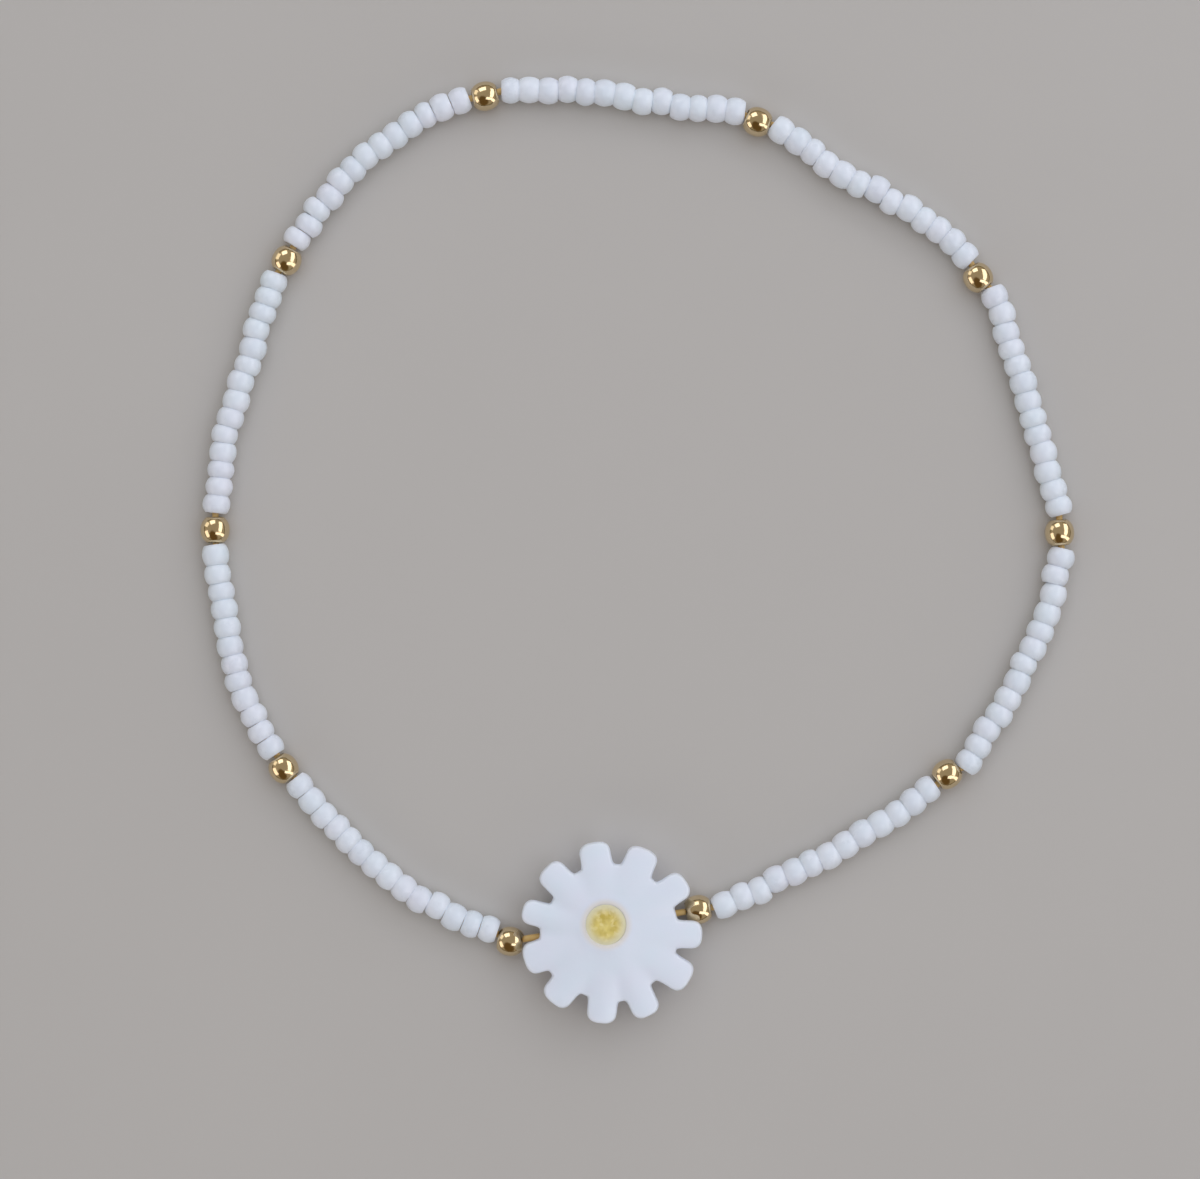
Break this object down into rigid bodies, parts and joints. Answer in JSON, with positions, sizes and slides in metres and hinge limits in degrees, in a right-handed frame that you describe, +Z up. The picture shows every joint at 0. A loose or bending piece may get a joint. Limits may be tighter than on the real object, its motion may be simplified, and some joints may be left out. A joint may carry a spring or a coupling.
{
  "type": "beaded stretch bracelet",
  "caption": "Stretch bracelet of small white seed beads with round gold beads between the runs and a white daisy bead with a glittery yellow centre, on a loop of elastic.",
  "frame": {"origin": "middle of the whole bracelet's outline, on the surface that it lies on", "axes": "+Z up through the wrist hollow, the daisy bead at -Y, +X to the right seen from above with the daisy nearest"},
  "size_m": [0.0612, 0.0662, 0.0032],
  "materials": {
    "seed_glass": "gloss",
    "gold_metal": "polished",
    "daisy_white": "gloss",
    "daisy_yellow": "satin",
    "elastic": "satin"
  },
  "bodies": {
    "root": {"gold_bead_1": "gold_metal", "gold_bead_2": "gold_metal", "gold_bead_3": "gold_metal", "gold_bead_4": "gold_metal", "gold_bead_5": "gold_metal", "gold_bead_6": "gold_metal", "gold_bead_7": "gold_metal", "gold_bead_8": "gold_metal", "gold_bead_9": "gold_metal", "gold_bead_10": "gold_metal", "seed_run_1": "seed_glass", "seed_run_2": "seed_glass", "seed_run_3": "seed_glass", "seed_run_4": "seed_glass", "seed_run_5": "seed_glass", "seed_run_7": "seed_glass", "seed_run_8": "seed_glass", "seed_run_9": "seed_glass", "seed_run_10": "seed_glass", "daisy": "daisy_white", "daisy_centre": "daisy_yellow", "elastic_cord": "elastic"}
  },
  "joints": []
}
